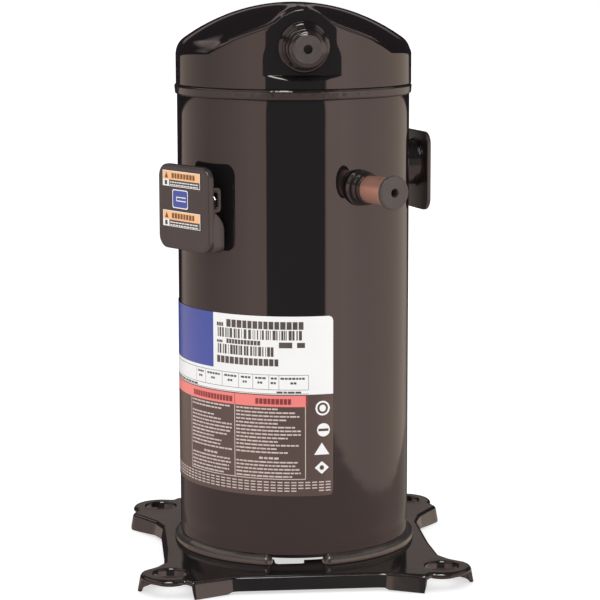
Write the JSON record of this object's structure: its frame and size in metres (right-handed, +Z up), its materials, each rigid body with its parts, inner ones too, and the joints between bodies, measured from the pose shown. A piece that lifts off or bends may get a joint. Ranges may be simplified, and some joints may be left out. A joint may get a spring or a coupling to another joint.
{
  "type": "scroll compressor",
  "caption": "Welded upright scroll compressor with motor, scroll set, capacity ring, capped pipe stubs, moulded terminal plugs and a square footed base plate.",
  "frame": {"origin": "on the shell axis, at the surface the base stands on", "axes": "+Z up along the shell axis, -Y towards the discharge stub (front), +X to the right seen from the front"},
  "size_m": [0.236, 0.24, 0.4032],
  "materials": {
    "black_paint": "glossy black baked enamel with a faint orange-peel",
    "iron": "machined cast iron",
    "steel": "turned steel",
    "pressed_steel": "dark pressed steel",
    "copper": "drawn copper, slightly tarnished",
    "winding": "varnished copper wire laced into a ring",
    "aluminium": "die-cast aluminium",
    "laminations": "stacked steel laminations",
    "bronze": "bearing bronze",
    "rubber": "matt dark grey moulded rubber",
    "moulding": "dark brown-black moulded elastomer",
    "board": "varnished insulation",
    "label": "printed film",
    "orange_label": "printed film",
    "blue_label": "printed film"
  },
  "bodies": {
    "shell": {"base_plate": "black_paint", "base_weld": "black_paint", "lower_cap": "black_paint", "centre_shell": "black_paint", "shell_weld": "black_paint", "top_cap": "black_paint", "discharge_fitting": "steel", "discharge_tube": "copper", "suction_fitting": "steel", "suction_tube": "copper", "motor_terminal_body": "steel", "motor_terminal_pin_1": "copper", "motor_terminal_pin_2": "copper", "motor_terminal_pin_3": "copper", "solenoid_terminal_body": "steel", "solenoid_terminal_pin_1": "copper", "solenoid_terminal_pin_2": "copper", "rating_label": "label", "stator_core": "laminations", "stator_winding_upper": "winding", "stator_winding_lower": "winding", "motor_protector": "board", "main_bushing": "bronze", "lower_bushing": "bronze", "main_bearing_housing": "iron", "lower_bearing_bracket": "pressed_steel", "oil_magnet": "pressed_steel", "scroll_bolt_1": "pressed_steel", "scroll_bolt_2": "pressed_steel", "scroll_bolt_3": "pressed_steel", "scroll_bolt_4": "pressed_steel", "muffler_plate": "pressed_steel", "check_valve_cage": "steel", "relief_valve": "bronze", "suction_baffle": "pressed_steel"},
    "crank": {"crankshaft": "steel", "rotor_core": "laminations", "rotor_end_ring_upper": "aluminium", "rotor_end_ring_lower": "aluminium", "counterweight_upper": "bronze", "counterweight_lower": "bronze", "oil_pickup": "pressed_steel", "drive_bush": "steel"},
    "orbiter": {"orbiting_scroll": "iron", "orbiting_bearing": "bronze"},
    "oldham": {"oldham_ring": "aluminium"},
    "upper_scroll": {"fixed_scroll": "iron", "solenoid_coil": "copper"},
    "seal": {"floating_seal": "bronze"},
    "capacity_ring": {"modulation_ring": "steel"},
    "plunger": {"solenoid_plunger": "steel"},
    "check_disc": {"check_valve_disc": "steel"},
    "suction_stopper": {"suction_plug": "rubber"},
    "discharge_stopper": {"discharge_plug": "rubber"},
    "power_plug": {"terminal_cover": "moulding", "cover_sticker_upper": "orange_label", "cover_sticker_lower": "orange_label", "cover_badge": "blue_label"},
    "solenoid_plug": {"solenoid_cover": "moulding"}
  },
  "joints": [
    {"name": "crank_spin", "type": "hinge", "parent": "shell", "child": "crank", "pos_m": [0, 0, 0.13], "axis": [0, 0, 1], "continuous": true},
    {"name": "orbit_counter_spin", "type": "hinge", "parent": "crank", "child": "orbiter", "pos_m": [0, 0.0034, 0.25], "axis": [0, 0, 1], "continuous": true},
    {"name": "oldham_slide", "type": "slide", "parent": "shell", "child": "oldham", "axis": [1, 0, 0], "range_m": [-0.0034, 0.0034]},
    {"name": "scroll_lift", "type": "slide", "parent": "shell", "child": "upper_scroll", "axis": [0, 0, 1], "range_m": [0, 0.0008]},
    {"name": "seal_float", "type": "slide", "parent": "upper_scroll", "child": "seal", "axis": [0, 0, 1], "range_m": [0, 0.001]},
    {"name": "capacity_turn", "type": "hinge", "parent": "upper_scroll", "child": "capacity_ring", "pos_m": [0, 0, 0.32], "axis": [0, 0, 1], "range_deg": [0, 6], "stiffness_Nm_per_rad": 1},
    {"name": "plunger_push", "type": "slide", "parent": "upper_scroll", "child": "plunger", "axis": [-0.309, 0.9511, 0], "range_m": [0, 0.0077]},
    {"name": "check_lift", "type": "slide", "parent": "shell", "child": "check_disc", "axis": [0, 0, 1], "range_m": [0, 0.0045]},
    {"name": "suction_plug_pull", "type": "slide", "parent": "shell", "child": "suction_stopper", "axis": [0.4695, -0.8829, 0], "range_m": [0, 0.03]},
    {"name": "discharge_plug_pull", "type": "slide", "parent": "shell", "child": "discharge_stopper", "axis": [0, -1, 0], "range_m": [0, 0.02]},
    {"name": "power_plug_pull", "type": "slide", "parent": "shell", "child": "power_plug", "axis": [-0.8261, -0.5635, 0], "range_m": [0, 0.03]},
    {"name": "solenoid_plug_pull", "type": "slide", "parent": "shell", "child": "solenoid_plug", "axis": [0.9659, 0.2588, 0], "range_m": [0, 0.03]}
  ],
  "couplings": [
    {"joint": "orbit_counter_spin", "follows": "crank_spin", "ratio": -1},
    {"joint": "plunger_push", "follows": "capacity_turn", "m_per_rad": 0.07}
  ]
}
